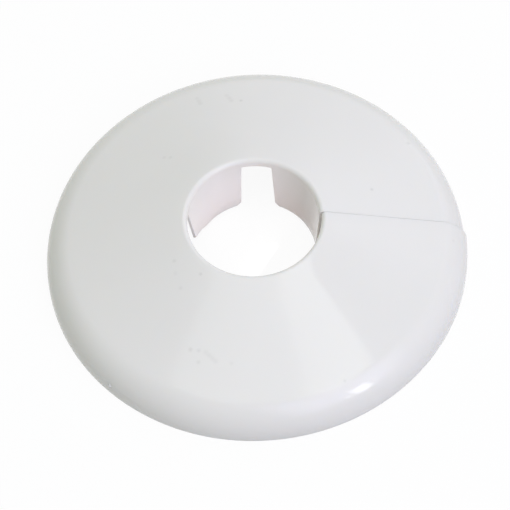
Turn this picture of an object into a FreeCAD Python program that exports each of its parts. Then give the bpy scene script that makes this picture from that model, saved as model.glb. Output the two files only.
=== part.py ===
import FreeCAD, Part
import math
import os

# Driving dimensions, in millimetres and degrees.
outer_d = 52.0              # rim, across its straight land at the base
height = 9.1                # base to the crest of the lip round the hole
wall = 1.2                  # thickness of the cover
bore_d = 16.2               # hole through the cover
lip_radius = 0.5            # rounding from the cone into the hole
rim_radius = 4.4            # rounding from the cone into the rim
rim_land = 0.5              # straight foot of the rim
grip_d = 15.0               # inside the finger tips, a 15 mm pipe
grip_land = 1.2             # straight gripping band at each tip
root_thickness = 0.3        # of a finger at the cover, measured level
tip_thickness = 0.2         # of the same finger at its tip
tip_clearance = 0.4         # finger tips above the base
notch_top = 3.75            # notch between two fingers, at the cover
notch_mouth = 4.3           # the same notch, its sides run on down to the tips
notch_round = 0.3           # upper corners of a notch
side_azimuth = 83.6         # of the two side notches, either way from the split
side_cut_run = 0.5          # corner cut off a finger tip beside a side notch, along the tip
side_cut_rise = 0.6         # the same cut, up the finger's side
hinge_cut_run = 2.7         # longer corner cut beside the notch opposite the split
hinge_cut_rise = 1.6        # the same cut, up the finger's side
split_gap = 0.06            # cut through the hoop, along +X
split_step = 0.28           # one end of the hoop stands out past the other by this

beyond = 1.0                # how far a cutter runs past what it cuts

outer_r = outer_d / 2
bore_r = bore_d / 2
grip_r = grip_d / 2
up = FreeCAD.Vector(0, 0, 1)


def at(radius, z):
    """A point of the hoop's cross-section, drawn opposite the split."""
    return FreeCAD.Vector(-radius, 0, z)


def on_circle(centre, radius, degrees):
    angle = math.radians(degrees)
    return (centre[0] + radius * math.cos(angle), centre[1] + radius * math.sin(angle))


def line(start, end):
    return Part.makeLine(at(*start), at(*end))


def arc(centre, radius, start, end):
    angles = (start, (start + end) / 2, end)
    return Part.Arc(*[at(*on_circle(centre, radius, angle)) for angle in angles]).toShape()


def section(edges):
    return Part.Face(Part.Wire(edges))


# The cone is the straight line that touches both the rim's arc and the lip's arc.
rim_centre = (outer_r - rim_radius, rim_land)
lip_centre = (bore_r + lip_radius, height - lip_radius)
run = rim_centre[0] - lip_centre[0]
rise = lip_centre[1] - rim_centre[1]
cone_slope = math.degrees(math.atan2(rise, run)
                          - math.asin((rim_radius - lip_radius) / math.hypot(run, rise)))
cone_normal = 90.0 - cone_slope
lip_tangent = on_circle(lip_centre, lip_radius, cone_normal)
rim_tangent = on_circle(rim_centre, rim_radius, cone_normal)
under_tangent = on_circle(rim_centre, rim_radius - wall, cone_normal)

# Inside, a chamfer that touches the wall's inner arc at its middle joins the cone to the rim.
corner_r = (rim_radius - wall) / math.cos(math.radians(cone_normal / 4))
chamfer_top = on_circle(rim_centre, corner_r, cone_normal * 3 / 4)
chamfer_foot = on_circle(rim_centre, corner_r, cone_normal / 4)


def under_z(radius):
    """Height of the cover's underside, which runs parallel to its cone."""
    return under_tangent[1] + (under_tangent[0] - radius) * math.tan(math.radians(cone_slope))


def cover_section():
    bore_foot = (bore_r, under_z(bore_r))
    return section([
        line((outer_r - wall, 0), (outer_r, 0)),
        line((outer_r, 0), (outer_r, rim_land)),
        arc(rim_centre, rim_radius, 0, cone_normal),
        line(rim_tangent, lip_tangent),
        arc(lip_centre, lip_radius, cone_normal, 180),
        line((bore_r, lip_centre[1]), bore_foot),
        line(bore_foot, chamfer_top),
        line(chamfer_top, chamfer_foot),
        line(chamfer_foot, (outer_r - wall, 0)),
    ])


def finger_section():
    """A finger leans in from the hole to its gripping band; its root runs up inside the cover."""
    root_r = bore_r + root_thickness
    middle_r = bore_r + root_thickness / 2
    corners = [
        (bore_r, under_z(bore_r)),
        (grip_r, tip_clearance + grip_land),
        (grip_r, tip_clearance),
        (grip_r + tip_thickness, tip_clearance),
        (root_r, under_z(root_r)),
        (middle_r, under_z(middle_r) + wall / 2),
    ]
    return section([line(a, b) for a, b in zip(corners, corners[1:] + corners[:1])])


def hoop(face):
    """Sweeps a section both ways round, about two axes, so that its ends meet with a step."""
    spring = FreeCAD.Vector(split_step / 2, 0, 0)
    back = face.revolve(FreeCAD.Vector(0, 0, 0), up, -180)
    front = face.revolve(spring, up, 180)
    return back.fuse(front)


def is_level(edge, z):
    return all(abs(vertex.Point.z - z) < 1e-4 for vertex in edge.Vertexes)


def notch(azimuth, cut_run, cut_rise):
    """A drafted slot through the ring of fingers; its mouth cuts off the corners of their tips."""
    top_z = under_z(bore_r + root_thickness / 2)
    cut_z = tip_clearance + cut_rise
    low_z = tip_clearance - beyond
    half_top = notch_top / 2
    draft = (notch_mouth - notch_top) / 2 / (top_z - tip_clearance)
    half_cut = half_top + draft * (top_z - cut_z)
    half_low = half_cut + cut_run * (cut_z - low_z) / cut_rise
    side = [(half_low, low_z), (half_cut, cut_z), (half_top, top_z)]
    corners = side + [(-y, z) for y, z in reversed(side)]
    outline = Part.makePolygon([FreeCAD.Vector(0, y, z) for y, z in corners + corners[:1]])
    slot = Part.Face(outline).extrude(FreeCAD.Vector(bore_r + 2 * root_thickness, 0, 0))
    upper = [e for e in slot.Edges if is_level(e, top_z) and abs(e.CenterOfMass.y) > half_top / 2]
    slot = slot.makeFillet(notch_round, upper)
    slot.rotate(FreeCAD.Vector(0, 0, 0), up, azimuth)
    return slot


fingers = hoop(finger_section())
fingers = fingers.cut(notch(side_azimuth, side_cut_run, side_cut_rise))
fingers = fingers.cut(notch(180.0, hinge_cut_run, hinge_cut_rise))
fingers = fingers.cut(notch(-side_azimuth, side_cut_run, side_cut_rise))

collar = hoop(cover_section()).fuse(fingers)

split_corner = FreeCAD.Vector(0, -split_gap / 2, -beyond)
split = Part.makeBox(outer_r + split_step + beyond, split_gap, height + 2 * beyond, split_corner)
collar = collar.cut(split).Solids[0]

os.makedirs("parts", exist_ok=True)
collar.exportStep("parts/collar.step")
print("collar volume %.1f mm3, cone slope %.2f degrees" % (collar.Volume, cone_slope))
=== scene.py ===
# %% [markdown]
# # A radiator pipe collar
# A collar is a small white plastic cover that hides the rough hole where a heating pipe comes
# out of the floor. It is one moulding: a low cone with a rolled rim, and a ring of springy
# fingers under its hole. One split lets the whole hoop open, so that it clips round a pipe.
# The CAD model gives the true shape and place. This lesson models the same collar again with
# softly broken edges, gives it a finish, and lights it.

# %% Load the CAD frame
import math

import bmesh
import bpy
import numpy as np
from mathutils import Matrix, Vector


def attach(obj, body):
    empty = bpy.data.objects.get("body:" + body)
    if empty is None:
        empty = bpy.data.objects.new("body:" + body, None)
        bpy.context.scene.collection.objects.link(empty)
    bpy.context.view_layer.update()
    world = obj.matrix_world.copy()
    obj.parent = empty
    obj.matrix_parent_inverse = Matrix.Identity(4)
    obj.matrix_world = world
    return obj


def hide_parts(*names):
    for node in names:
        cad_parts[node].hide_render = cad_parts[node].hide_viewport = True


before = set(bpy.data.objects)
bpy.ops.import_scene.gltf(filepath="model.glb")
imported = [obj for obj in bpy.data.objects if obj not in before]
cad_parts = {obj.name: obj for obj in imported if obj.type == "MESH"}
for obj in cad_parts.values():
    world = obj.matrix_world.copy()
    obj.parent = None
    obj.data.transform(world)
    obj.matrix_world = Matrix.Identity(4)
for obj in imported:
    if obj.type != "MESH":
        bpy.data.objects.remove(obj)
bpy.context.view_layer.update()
MM = 0.001


def in_mm(lengths):
    """Lengths in millimetres, rounded for a print."""
    return [round(x / MM, 2) for x in lengths]


# %% [markdown]
# ## The sizes
# Everything on the collar follows from a few sizes that a maker would read off a drawing. They
# repeat the CAD model's, so that the new mesh lies on the old one. A point of the cross-section
# is a radius and a height. The cone has no angle of its own: it is the straight line that
# touches both the rim's arc and the lip's arc.

# %% Sizes of the cover
outer_r = 26.0 * MM
height = 9.1 * MM
wall = 1.2 * MM
bore_r = 8.1 * MM
lip_radius = 0.5 * MM
rim_radius = 4.4 * MM
rim_land = 0.5 * MM

rim_centre = (outer_r - rim_radius, rim_land)
lip_centre = (bore_r + lip_radius, height - lip_radius)
run, rise = rim_centre[0] - lip_centre[0], lip_centre[1] - rim_centre[1]
cone_slope = math.atan2(rise, run) - math.asin((rim_radius - lip_radius) / math.hypot(run, rise))
cone_normal = math.pi / 2 - cone_slope


def on_circle(centre, radius, angle):
    return (centre[0] + radius * math.cos(angle), centre[1] + radius * math.sin(angle))


under_start = on_circle(rim_centre, rim_radius - wall, cone_normal)


def under_z(radius):
    """Height of the cover's underside, which runs parallel to the cone."""
    return under_start[1] + (under_start[0] - radius) * math.tan(cone_slope)


print("the cone slopes at %.2f degrees" % math.degrees(cone_slope))

# %% [markdown]
# ## The fingers and their notches
# The fingers are thin tongues that lean in from the hole and end in a short straight band round
# the pipe. Three notches and the split part them. A notch is a little wider at the tips, so that
# it leaves the mould, and its mouth cuts the corners off the tips. The cut is long beside the
# notch opposite the split, where the hoop bends when it opens. The round upper corners are drawn
# as three points just outside the true arc, so that no mesh line leaves the outline at a shallow
# angle, which would spoil the small bevel made later.

# %% Sizes of the fingers
grip_r = 7.5 * MM
root_thickness, tip_thickness = 0.3 * MM, 0.2 * MM
tip_z = 0.4 * MM
band_z = 1.6 * MM
root_r = bore_r + root_thickness
notch_top_z = under_z(bore_r + root_thickness / 2)
notch_round = 0.3 * MM
half_tip, half_top = 2.15 * MM, 1.875 * MM
side_cut_run, side_cut_rise = 0.5 * MM, 0.6 * MM
hinge_cut_run, hinge_cut_rise = 2.7 * MM, 1.6 * MM

# A round upper corner: shares of its radius, down from the notch's top and in from its side.
corner_points = ((0.732, 0.0), (0.268, 0.268), (0.0, 0.732))

# Two more levels, between the band and the notch's top, keep the faces of a finger short.
middle_levels = (3.6 * MM, 5.6 * MM)


def notch_outline(cut_run, cut_rise):
    """Heights of a notch's outline, and its half width at each of them."""
    half_cut = np.interp(tip_z + cut_rise, [tip_z, notch_top_z], [half_tip, half_top])
    points = [(tip_z, half_cut + cut_run), (tip_z + cut_rise, half_cut)]
    for down, inward in corner_points:
        points.append((notch_top_z - down * notch_round, half_top - inward * notch_round))
    return zip(*points)


side_z, side_half = notch_outline(side_cut_run, side_cut_rise)
hinge_z, hinge_half = notch_outline(hinge_cut_run, hinge_cut_rise)
finger_levels = sorted({*side_z, *hinge_z, band_z, *middle_levels})
print("levels of a finger in mm:", in_mm(finger_levels))

# %% [markdown]
# ## The section
# A hoop is easiest to make as a potter makes it: draw its cross-section once, then turn it. The
# section is drawn with two moves. A straight run extrudes the last vertex and moves the new one.
# An arc spins the last vertex about the arc's centre. The pen starts at the foot of the rim, on
# the side away from the split, goes over the cone and down a finger, and comes back underneath.

# %% Draw the section
collar_mesh = bmesh.new()
section = [collar_mesh.verts.new((-outer_r, 0, 0))]


def run_to(radius, z, steps=1):
    """Draws a straight run from the pen's place in equal steps."""
    step = (Vector((-radius, 0, z)) - section[-1].co) / steps
    for _ in range(steps):
        made = bmesh.ops.extrude_vert_indiv(collar_mesh, verts=section[-1:])
        bmesh.ops.translate(collar_mesh, verts=made["verts"], vec=step)
        section.extend(made["verts"])


def arc_about(centre, angle, steps):
    """Draws an arc from the pen's place about a centre."""
    known = len(collar_mesh.verts)
    bmesh.ops.spin(collar_mesh, geom=section[-1:], cent=(-centre[0], 0, centre[1]),
                   axis=(0, 1, 0), angle=angle, steps=steps)
    collar_mesh.verts.ensure_lookup_table()
    section.extend(collar_mesh.verts[known:])


run_to(outer_r, rim_land)
arc_about(rim_centre, cone_normal, 20)
run_to(*on_circle(lip_centre, lip_radius, cone_normal), steps=8)
arc_about(lip_centre, math.pi - cone_normal, 10)
run_to(bore_r, under_z(bore_r))
for z in reversed(finger_levels):
    run_to(np.interp(z, [band_z, under_z(bore_r)], [grip_r, bore_r]), z)
for z in finger_levels:
    back_z = np.interp(z, [tip_z, notch_top_z], [tip_z, under_z(root_r)])
    run_to(np.interp(z, [tip_z, notch_top_z], [grip_r + tip_thickness, root_r]), back_z)
run_to(*under_start, steps=6)
arc_about(rim_centre, -cone_normal, 10)
run_to(outer_r - wall, 0)
bmesh.ops.contextual_create(collar_mesh, geom=[section[-1], section[0]])
section_edges = list(collar_mesh.edges)
print("the section has", len(section), "points and", len(section_edges), "edges")

# %% [markdown]
# ## Turning the hoop
# The hoop has sprung a little open since it left the mould: at the split one end stands out past
# the other. Two half turns about two axes a hair apart give that step. The notches come from the
# same turn. Before the fingers' columns of vertices move, the faces inside each notch are
# deleted; then every column slides round to where the notch's outline says it ends. A boolean
# cut would give the same shape, but with ragged faces that a bevel can't follow.

# %% Turn both halves and open the notches
split_gap = 0.06 * MM
split_step = 0.28 * MM
half_steps = 144
hair = 0.01 * MM

# Degrees of turn from the middle of the hinge notch: a side notch's middle, and the columns where
# the notches begin and end before the slide. The last column is the split.
notch_turn = 96.4
columns = [0.0, 15.0, 80.0, 110.0, 180.0]


def turn_of(point, axis_x):
    return math.degrees(abs(math.atan2(point.y, axis_x - point.x)))


def is_finger(vert, axis_x):
    radius = math.hypot(vert.co.x - axis_x, vert.co.y)
    return radius < root_r + axis_x + hair and vert.co.z < notch_top_z + hair


def in_notch(face, axis_x):
    turn = turn_of(face.calc_center_median(), axis_x)
    return turn < columns[1] or columns[2] < turn < columns[3]


def slide(vert, axis_x, side):
    """Moves a vertex round the axis to the column that the notches and the split leave for it."""
    radius = math.hypot(vert.co.x - axis_x, vert.co.y)
    stops = list(columns)
    stops[4] -= math.degrees(math.asin(split_gap / 2 / radius))
    if is_finger(vert, axis_x):
        hinge = math.degrees(math.asin(np.interp(vert.co.z, hinge_z, hinge_half) / radius))
        half = math.degrees(math.asin(np.interp(vert.co.z, side_z, side_half) / radius))
        middle = notch_turn - math.degrees(math.asin(axis_x / radius))
        stops[1:4] = hinge, middle - half, middle + half
    turn = math.radians(np.interp(turn_of(vert.co, axis_x), columns, stops))
    vert.co.x, vert.co.y = axis_x - radius * math.cos(turn), side * radius * math.sin(turn)


halves = []
for side, axis_x in ((1, 0.0), (-1, split_step / 2)):
    known = set(collar_mesh.verts)
    bmesh.ops.spin(collar_mesh, geom=section + section_edges, cent=(axis_x, 0, 0), axis=(0, 0, 1),
                   angle=-side * math.pi, steps=half_steps)
    halves.append((side, axis_x, [v for v in collar_mesh.verts if v not in known]))

for side, axis_x, verts in halves:
    faces = {f for v in verts for f in v.link_faces}
    notched = [f for f in faces
               if in_notch(f, axis_x) and all(is_finger(v, axis_x) for v in f.verts)]
    bmesh.ops.delete(collar_mesh, geom=notched, context="FACES_ONLY")
    for vert in verts:
        slide(vert, axis_x, side)
    print("half turned:", len(verts), "vertices,", len(notched), "faces taken out for notches")

# %% [markdown]
# ## Closing the shell
# The deleted faces leave the fingers open at their sides. Round each notch the inner wall and the
# outer wall end in two arches with the same number of vertices, and bridging one arch to the
# other makes the sides and the top of the notch in one go. Last, the two ends of the hoop at the
# split are filled, and all faces are turned to look outwards.

# %% Bridge the notches and cap the split
loose = [e for e in collar_mesh.edges if e.is_wire]
bmesh.ops.delete(collar_mesh, geom=loose, context="EDGES")
lone = [v for v in collar_mesh.verts if not v.link_edges]
bmesh.ops.delete(collar_mesh, geom=lone, context="VERTS")
arch_reach = 45.0


def is_tip(edge):
    return all(abs(v.co.z - tip_z) < hair for v in edge.verts)


def edge_azimuth(edge):
    middle = (edge.verts[0].co + edge.verts[1].co) / 2
    return math.degrees(math.atan2(middle.y, middle.x)) % 360


for azimuth in (180 - notch_turn, 180.0, 180 + notch_turn):
    arches = [e for e in collar_mesh.edges
              if e.is_boundary and not is_tip(e) and abs(edge_azimuth(e) - azimuth) < arch_reach]
    made = bmesh.ops.bridge_loops(collar_mesh, edges=arches)
    print("notch at %.0f degrees:" % azimuth, len(arches), "edges,", len(made["faces"]), "new faces")

ends = [e for e in collar_mesh.edges if e.is_boundary]
caps = bmesh.ops.holes_fill(collar_mesh, edges=ends, sides=0)
bmesh.ops.recalc_face_normals(collar_mesh, faces=collar_mesh.faces)
print(len(caps["faces"]), "caps at the split")
print(sum(not e.is_manifold for e in collar_mesh.edges), "open edges left")
print("volume %.1f mm3" % (collar_mesh.calc_volume() / MM**3))

# %% [markdown]
# ## The gate nib
# Melted plastic enters the mould through a small gate. Where the moulding was broken off it, a nib
# stays on the rim, here low on the front left. A ball sunk to half its depth is enough for a mark
# that small. It sits on the front half, so it is set out from that half's axis.

# %% Add the nib
nib_azimuth, nib_rise = math.radians(-137.0), math.radians(13.4)
nib_radius = 0.3 * MM
nib_r, nib_z = on_circle(rim_centre, rim_radius, nib_rise)
nib_x, nib_y = on_circle((split_step / 2, 0.0), nib_r, nib_azimuth)
nib_place = Vector((nib_x, nib_y, nib_z))
bmesh.ops.create_uvsphere(collar_mesh, u_segments=16, v_segments=10, radius=nib_radius,
                          matrix=Matrix.Translation(nib_place))
print("nib at", in_mm(nib_place), "mm")

# %% [markdown]
# ## Breaking the edges
# No moulding has a truly sharp edge, and a hair of light along each edge is what makes a small
# part look real. Every edge where two faces meet at more than 40 degrees gets a tiny round. The
# cone, rim and lip are already smooth arcs and stay as they are. Weighted normals then keep the
# large faces flat beside the narrow rounds.

# %% Bevel and finish the mesh
edge_round = 0.06 * MM
sharp_from = math.radians(40)
sharp = [e for e in collar_mesh.edges if e.calc_face_angle(0) > sharp_from]
bmesh.ops.bevel(collar_mesh, geom=sharp, offset=edge_round, offset_type="OFFSET", affect="EDGES",
                segments=2, profile=0.5, material=-1, clamp_overlap=True)
for face in collar_mesh.faces:
    face.smooth = True

collar_data = bpy.data.meshes.new("moulded_collar")
collar_mesh.to_mesh(collar_data)
collar_mesh.free()
collar = bpy.data.objects.new("moulded_collar", collar_data)
bpy.context.scene.collection.objects.link(collar)
even_shading = collar.modifiers.new("even_shading", "WEIGHTED_NORMAL")
even_shading.keep_sharp = False
even_shading.weight = 80
print(len(sharp), "edges rounded;", len(collar_data.polygons), "faces")

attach(collar, "root")
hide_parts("collar")

# %% [markdown]
# ## White polypropylene
# The collar is moulded polypropylene, coloured right through, from a polished mould. To the eye
# it is a clean white, a little clouded, slightly milky where light enters a thin wall, and glossy
# enough to mirror the edges of the lamps. A single flat colour would look like paper, so the
# finish adds what the real surface has: faint clouding, uneven polish, a gentle waviness where the
# wall has shrunk, and a few grey scuffs from handling.

# %% Two helpers for materials


def linear(hex_colour):
    """Turns an sRGB hex colour into the linear values that a shader expects."""
    channels = [int(hex_colour[i:i + 2], 16) / 255 for i in (1, 3, 5)]
    return (*[c / 12.92 if c <= 0.04045 else ((c + 0.055) / 1.055) ** 2.4 for c in channels], 1.0)


def add_node(tree, kind, inputs=None, **settings):
    """Adds a node with its settings, and fills its inputs with values or links."""
    node = tree.nodes.new("ShaderNode" + kind)
    for name, value in settings.items():
        setattr(node, name, value)
    for name, value in (inputs or {}).items():
        if isinstance(value, bpy.types.NodeSocket):
            tree.links.new(value, node.inputs[name])
        else:
            node.inputs[name].default_value = value
    return node


print("middle grey in linear light:", round(linear("#808080")[0], 3))

# %% The polypropylene's clouding and waviness
plastic = bpy.data.materials.new("moulded_polypropylene")
plastic.use_nodes = True
tree = plastic.node_tree
shader = tree.nodes["Principled BSDF"]
place = add_node(tree, "TexCoord").outputs["Object"]

cloud_mm, polish_mm, wave_mm = 14, 6, 3.5
cloud = add_node(tree, "TexNoise", {"Vector": place, "Scale": 1 / (cloud_mm * MM), "Detail": 2.0})
polish = add_node(tree, "TexNoise", {"Vector": place, "Scale": 1 / (polish_mm * MM), "Detail": 3.0})
wave = add_node(tree, "TexNoise", {"Vector": place, "Scale": 1 / (wave_mm * MM), "Detail": 1.0})
white = add_node(tree, "Mix", {0: cloud.outputs["Fac"], 6: linear("#F1F0ED"), 7: linear("#ECEBE8")},
                 data_type="RGBA")
gloss = add_node(tree, "MapRange",
                 {"Value": polish.outputs["Fac"], "From Min": 0.3, "From Max": 0.7,
                  "To Min": 0.07, "To Max": 0.1})
print("patterns of", cloud_mm, polish_mm, wave_mm, "mm")

# %% Scuffs


def on_cover(azimuth, radius):
    """A point of the cover's outside, from its direction in degrees and its radius."""
    rim_r, rim_z = on_circle(rim_centre, rim_radius, cone_normal)
    z = rim_z + (rim_r - radius) * math.tan(cone_slope)
    if radius > rim_r:
        z = rim_centre[1] + math.sqrt(rim_radius**2 - (radius - rim_centre[0])**2)
    return Vector((*on_circle((0.0, 0.0), radius, math.radians(azimuth)), z))


def spot(middle, reach, strength):
    """A soft round spot: strength at its middle, nothing from reach on."""
    away = add_node(tree, "VectorMath", {0: place, 1: middle}, operation="DISTANCE")
    fall = add_node(tree, "MapRange",
                    {"Value": away.outputs["Value"], "From Max": reach, "To Min": strength, "To Max": 0.0},
                    interpolation_type="SMOOTHSTEP")
    return fall.outputs["Result"]


# Direction in degrees, radius and reach in mm, and how far the scuff goes from white to grey.
# Several in a close row make a short scratch.
scuffs = [
    (15, 15.4, 0.35, 0.24), (30.8, 23.4, 0.4, 0.2), (29.1, 24.75, 0.3, 0.12),
    (91.1, 19.5, 0.35, 0.22), (95.8, 20.8, 0.5, 0.1), (95.2, 20.25, 0.5, 0.12),
    (94.6, 19.7, 0.5, 0.12), (105.9, 21.6, 0.5, 0.09), (105.7, 21.0, 0.5, 0.11),
    (105.6, 20.5, 0.5, 0.12), (133.6, 15.15, 0.4, 0.12), (131.9, 14.45, 0.4, 0.12),
    (-153.7, 11.1, 0.4, 0.15), (-146.5, 11.9, 0.4, 0.08), (-133.2, 10.0, 0.35, 0.2),
    (-137.7, 12.7, 0.4, 0.11), (-118.3, 18.4, 0.45, 0.18), (-115.2, 18.2, 0.4, 0.15),
    (-113.8, 19.5, 0.4, 0.14), (-112.3, 18.15, 0.5, 0.09), (-110.8, 18.4, 0.5, 0.1),
    (-109.3, 18.65, 0.5, 0.1), (-107.9, 18.9, 0.5, 0.09), (-102, 18.85, 0.4, 0.08),
    (-66, 23.3, 0.35, 0.16), (-5.8, 24.4, 0.4, 0.14),
]
colour = white.outputs[2]
for azimuth, radius, reach, strength in scuffs:
    mark = spot(on_cover(azimuth, radius * MM), reach * MM, strength)
    marked = add_node(tree, "Mix", {0: mark, 6: colour, 7: linear("#A8A8A6")}, data_type="RGBA")
    colour = marked.outputs[2]

wave_depth = 0.004 * MM
wave_height = add_node(tree, "Math", {0: wave.outputs["Fac"], 1: wave_depth}, operation="MULTIPLY")
bump = add_node(tree, "Bump", {"Height": wave_height.outputs[0], "Distance": 1.0})

tree.links.new(colour, shader.inputs["Base Color"])
tree.links.new(gloss.outputs["Result"], shader.inputs["Roughness"])
tree.links.new(bump.outputs["Normal"], shader.inputs["Normal"])
shader.inputs["IOR"].default_value = 1.49
shader.inputs["Subsurface Weight"].default_value = 0.25
shader.inputs["Subsurface Radius"].default_value = (1.0, 0.85, 0.7)
shader.inputs["Subsurface Scale"].default_value = 1.0 * MM
collar_data.materials.append(plastic)
print(len(scuffs), "scuffs;", len(tree.nodes), "nodes in the finish")

# %% [markdown]
# ## The floor and the white surround
# The collar lies on a plain white floor. The floor glows white for the camera and in reflections,
# and keeps a small share of plain diffuse white, so that the collar's soft shadow still shows.
# Light that bounces off it meets a grey card instead, or the floor would fill every shadow.

# %% Floor and world
floor_half, floor_drop = 2.0, 0.02 * MM
floor_mesh = bmesh.new()
bmesh.ops.create_grid(floor_mesh, x_segments=1, y_segments=1, size=floor_half)
bmesh.ops.translate(floor_mesh, verts=floor_mesh.verts, vec=(0, 0, -floor_drop))
floor_data = bpy.data.meshes.new("floor")
floor_mesh.to_mesh(floor_data)
floor_mesh.free()
floor = bpy.data.objects.new("floor", floor_data)
bpy.context.scene.collection.objects.link(floor)


def seen_share(tree, share):
    """A value that is share for what the eye or a mirror sees, and 0 for rays that carry light."""
    ray = add_node(tree, "LightPath").outputs
    eye = add_node(tree, "Math", {0: ray["Is Camera Ray"], 1: ray["Is Glossy Ray"]}, operation="MAXIMUM")
    seen = add_node(tree, "Math", {0: eye.outputs[0], 1: ray["Is Transmission Ray"]}, operation="MAXIMUM")
    return add_node(tree, "Math", {0: seen.outputs[0], 1: share}, operation="MULTIPLY").outputs[0]


card = bpy.data.materials.new("white_card")
card.use_nodes = True
tree = card.node_tree
tree.nodes.remove(tree.nodes["Principled BSDF"])
shade = add_node(tree, "Mix", {0: seen_share(tree, 1.0), 6: linear("#BCBCBA"), 7: linear("#FFFFFF")},
                 data_type="RGBA")
matt = add_node(tree, "BsdfDiffuse", {"Color": shade.outputs[2]})
glow = add_node(tree, "Emission", {"Color": linear("#FFFFFF"), "Strength": 1.0})
both = add_node(tree, "MixShader", {0: seen_share(tree, 0.93), 1: matt.outputs[0], 2: glow.outputs[0]})
tree.links.new(both.outputs[0], tree.nodes["Material Output"].inputs["Surface"])
floor_data.materials.append(card)

world = bpy.data.worlds.new("white_room")
bpy.context.scene.world = world
world.use_nodes = True
tree = world.node_tree
fill = tree.nodes["Background"]
fill.inputs["Color"].default_value = linear("#A9ACA1")
surround = add_node(tree, "Background", {"Color": linear("#FFFFFF"), "Strength": 1.0})
both = add_node(tree, "MixShader", {0: seen_share(tree, 1.0), 1: fill.outputs[0], 2: surround.outputs[0]})
tree.links.new(both.outputs[0], tree.nodes["World Output"].inputs["Surface"])
print("floor of %.0f m;" % (2 * floor_half), len(card.node_tree.nodes), "nodes in its card")

# %% [markdown]
# ## Soft studio light
# Two broad cool boxes stand on the right, one behind and one in front, so the right side is the
# lighter one. A narrow box low at the front right gives the one bright streak on the rim, and a
# smaller one beside it the faint glint at the streak's end. These four fade towards their edges, as
# a lamp behind cloth does. Two panels with crisp edges lie side by side overhead, and the glossy
# cone mirrors them as two pale patches in front of the hole. Two last, tiny lamps are in the hole:
# one stands low and shines to the back left, and a faint, warm one lies on the floor and shines up.
# They stand for the light that the real floor throws back on the inside of the fingers, and the
# plastic doesn't mirror them.

# %% Soft boxes


def fade_edges(lamp, fade):
    """Dims a lamp from its middle to its edge, over the given share of its half width."""
    lamp.use_nodes = True
    tree = lamp.node_tree
    panel = add_node(tree, "NewGeometry").outputs["Parametric"]
    centred = add_node(tree, "VectorMath", {0: panel, 1: (0.5, 0.5, 0.0)}, operation="SUBTRACT")
    apart = add_node(tree, "VectorMath", {0: centred.outputs[0]}, operation="ABSOLUTE")
    sides = add_node(tree, "SeparateXYZ", {0: apart.outputs[0]})
    out = add_node(tree, "Math", {0: sides.outputs["X"], 1: sides.outputs["Y"]}, operation="MAXIMUM")
    dim = add_node(tree, "MapRange",
                   {"Value": out.outputs[0], "From Min": 0.5 - fade / 2, "From Max": 0.5,
                    "To Min": 1.0, "To Max": 0.0}, interpolation_type="SMOOTHSTEP")
    tree.links.new(dim.outputs["Result"], tree.nodes["Emission"].inputs["Strength"])


def softbox(name, azimuth, elevation, distance, width, depth, radiance, colour, fade=0.0):
    """A rectangular lamp that looks at the collar and has the given brightness."""
    lamp = bpy.data.lights.new(name, "AREA")
    lamp.shape, lamp.size, lamp.size_y = "RECTANGLE", width, depth
    lamp.energy = radiance * math.pi * width * depth
    lamp.color = linear(colour)[:3]
    if fade:
        fade_edges(lamp, fade)
    box = bpy.data.objects.new(name, lamp)
    bpy.context.scene.collection.objects.link(box)
    a, e = math.radians(azimuth), math.radians(elevation)
    direction = Vector((math.cos(a) * math.cos(e), math.sin(a) * math.cos(e), math.sin(e)))
    box.location = direction * distance
    box.rotation_euler = direction.to_track_quat("Z", "Y").to_euler()
    box.visible_camera = False
    print(name, "%.3g W" % lamp.energy)
    return box


softbox("side_back", 64, 33, 0.7, 1.1, 0.84, 0.69, "#E9E5FF", fade=0.5)
softbox("side_front", -55, 42, 0.7, 0.9, 0.9, 2.0, "#DEDAFF", fade=0.7)
softbox("overhead_left", 180, 84, 0.804, 0.576, 0.376, 0.88, "#FBFFFC")
softbox("overhead_right", 0, 75.7, 0.826, 0.576, 0.2, 1.8, "#FCFFFA")
softbox("rim_streak", -47, 27.5, 0.6, 0.1, 0.3, 6.0, "#FFFFFF", fade=0.6)
softbox("rim_glint", -54.5, 23, 0.6, 0.025, 0.07, 5.5, "#FFFFFF", fade=0.6)
in_hole = softbox("in_hole", -35, -12, 0.0, 0.006, 0.006, 2.75, "#F8F0F0")
in_hole.location = Vector((1.5, -1.5, 1.5)) * MM
under_hole = softbox("under_hole", 0, -90, 0.0, 0.0105, 0.0105, 0.24, "#FF7850")
in_hole.visible_glossy = under_hole.visible_glossy = False

# %% [markdown]
# ## The camera
# The collar was photographed with a long lens from high in front, so its circles hardly taper.
# The camera stands 420 mm from the middle of the cone, 58 degrees above the floor, turned a few
# degrees about its own axis, and looks a little below the middle.

# %% Camera
elevation, roll = math.radians(58.35), math.radians(-4.4)
camera_reach, aim_across, aim_down = 420 * MM, 0.046 * MM, 1.98 * MM
middle = Vector((0, 0, 4 * MM))
back = Vector((0, -math.cos(elevation), math.sin(elevation)))
level, upright = Vector((1, 0, 0)), Vector((0, math.sin(elevation), math.cos(elevation)))
across = math.cos(roll) * level + math.sin(roll) * upright
upward = math.cos(roll) * upright - math.sin(roll) * level

lens = bpy.data.cameras.new("camera")
lens.sensor_width, lens.lens = 36.0, 240.17
lens.clip_start, lens.clip_end = 0.01, 10.0
camera = bpy.data.objects.new("camera", lens)
bpy.context.scene.collection.objects.link(camera)
stand = middle + back * camera_reach
aim = middle + across * aim_across - upward * aim_down
away = (stand - aim).normalized()
x_axis = upward.cross(away).normalized()
turn = Matrix((x_axis, away.cross(x_axis), away)).transposed()
camera.matrix_world = Matrix.Translation(stand) @ turn.to_4x4()
bpy.context.scene.camera = camera
bpy.context.scene.view_settings.view_transform = "Standard"
print("camera at", in_mm(stand), "mm")

# %% [markdown]
# ## Last step
# The view layer is updated once more, so that every object's place is current.

# %% Update the view layer
bpy.context.view_layer.update()
